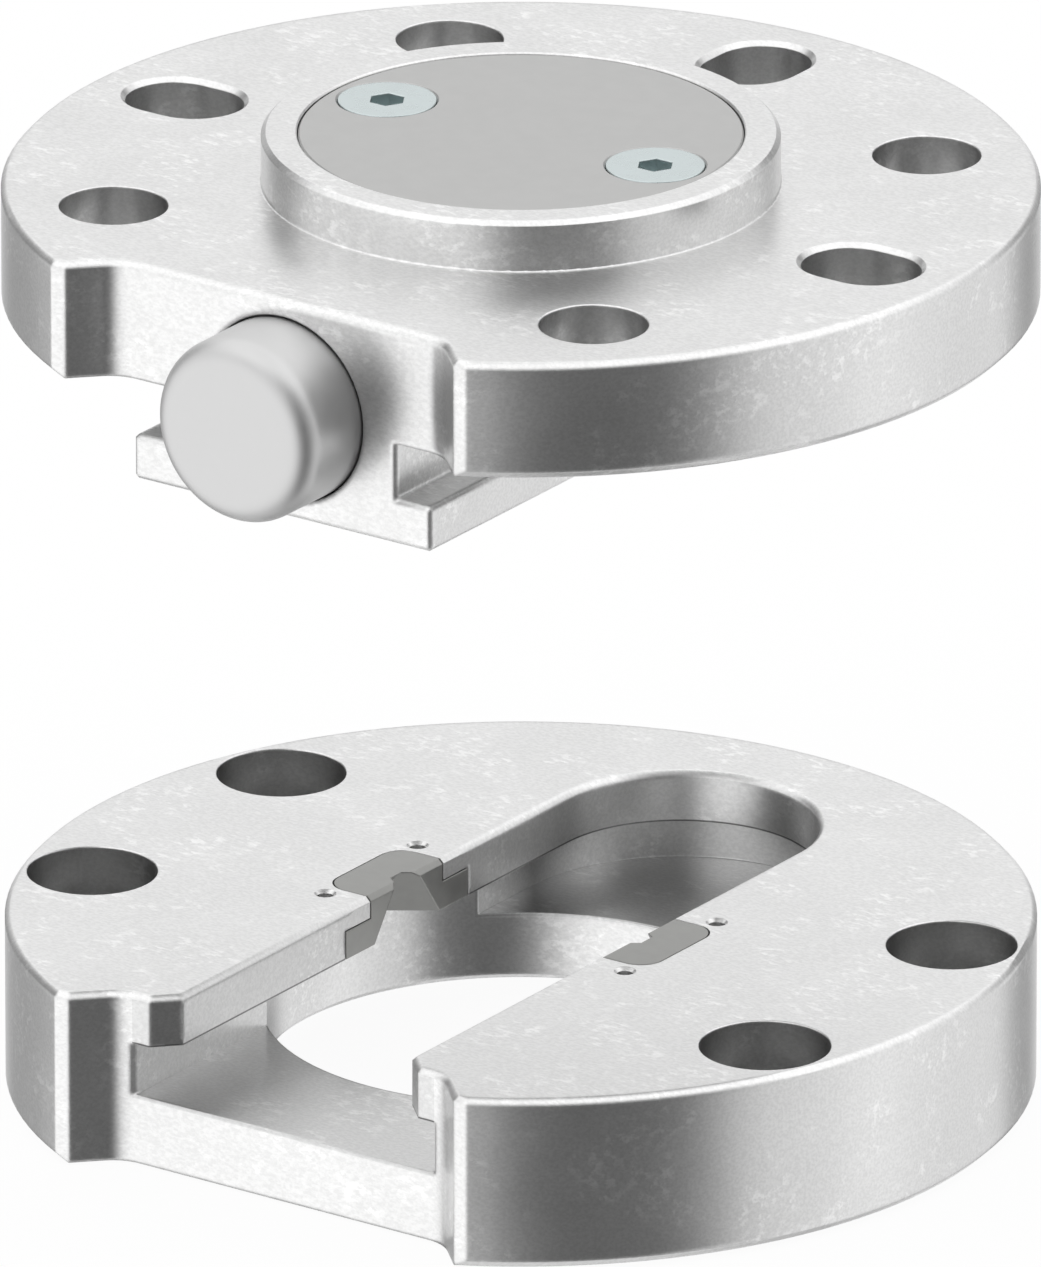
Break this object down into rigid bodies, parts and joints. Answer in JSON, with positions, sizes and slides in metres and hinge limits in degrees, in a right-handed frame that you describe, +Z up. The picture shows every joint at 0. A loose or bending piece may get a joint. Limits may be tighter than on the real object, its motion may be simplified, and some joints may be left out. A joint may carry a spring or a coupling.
{
  "type": "robot tool changer",
  "caption": "Manual robot tool changer in two halves: a flange with a T-rail, push button and wedge lock bolts above a slotted tool plate with steel lock inserts.",
  "frame": {"origin": "centre of the tool half's bottom face, on the axis of its centring bore", "axes": "+Z up, from the tool to the robot; the rail and its slot run along Y; the push button faces -Y; +X is to the right of someone facing the button"},
  "size_m": [0.063, 0.062, 0.0616],
  "materials": {
    "body_aluminium": "satin, bead blasted",
    "cover_aluminium": "matt",
    "button_aluminium": "smooth satin",
    "hardened_steel": "ground",
    "bearing_steel": "ground",
    "screw_steel": "turned",
    "spring_steel": "drawn wire"
  },
  "bodies": {
    "tool_half": {"tool_plate": "body_aluminium", "lock_insert_left": "hardened_steel", "lock_insert_right": "hardened_steel", "insert_pin_front_left": "bearing_steel", "insert_pin_front_right": "bearing_steel", "insert_pin_rear_left": "bearing_steel", "insert_pin_rear_right": "bearing_steel"},
    "robot_half": {"flange_body": "body_aluminium", "cover_disc": "cover_aluminium", "cover_screw_left": "screw_steel", "cover_screw_right": "screw_steel", "return_spring_left": "spring_steel", "return_spring_right": "spring_steel", "spring_guide_left": "bearing_steel", "spring_guide_right": "bearing_steel"},
    "button": {"push_button": "button_aluminium", "button_set_screw": "screw_steel", "cam_slide": "hardened_steel"},
    "bolt_left": {"lock_bolt_left": "hardened_steel", "cam_pin_left": "bearing_steel"},
    "bolt_right": {"lock_bolt_right": "hardened_steel", "cam_pin_right": "bearing_steel"}
  },
  "joints": [
    {"name": "dock_slide", "type": "slide", "parent": "tool_half", "child": "robot_half", "axis": [0, 1, 0], "range_m": [-0.0535, 0]},
    {"name": "button_press", "type": "slide", "parent": "robot_half", "child": "button", "axis": [0, 1, 0], "range_m": [0, 0.004], "stiffness_N_per_m": 4400, "springref_m": -0.001, "deforming": ["return_spring_left", "return_spring_right"]},
    {"name": "bolt_left_slide", "type": "slide", "parent": "robot_half", "child": "bolt_left", "axis": [1, 0, 0], "range_m": [0, 0.0028]},
    {"name": "bolt_right_slide", "type": "slide", "parent": "robot_half", "child": "bolt_right", "axis": [-1, 0, 0], "range_m": [0, 0.0028]}
  ],
  "couplings": [
    {"joint": "bolt_left_slide", "follows": "button_press", "ratio": 0.7},
    {"joint": "bolt_right_slide", "follows": "button_press", "ratio": 0.7}
  ]
}
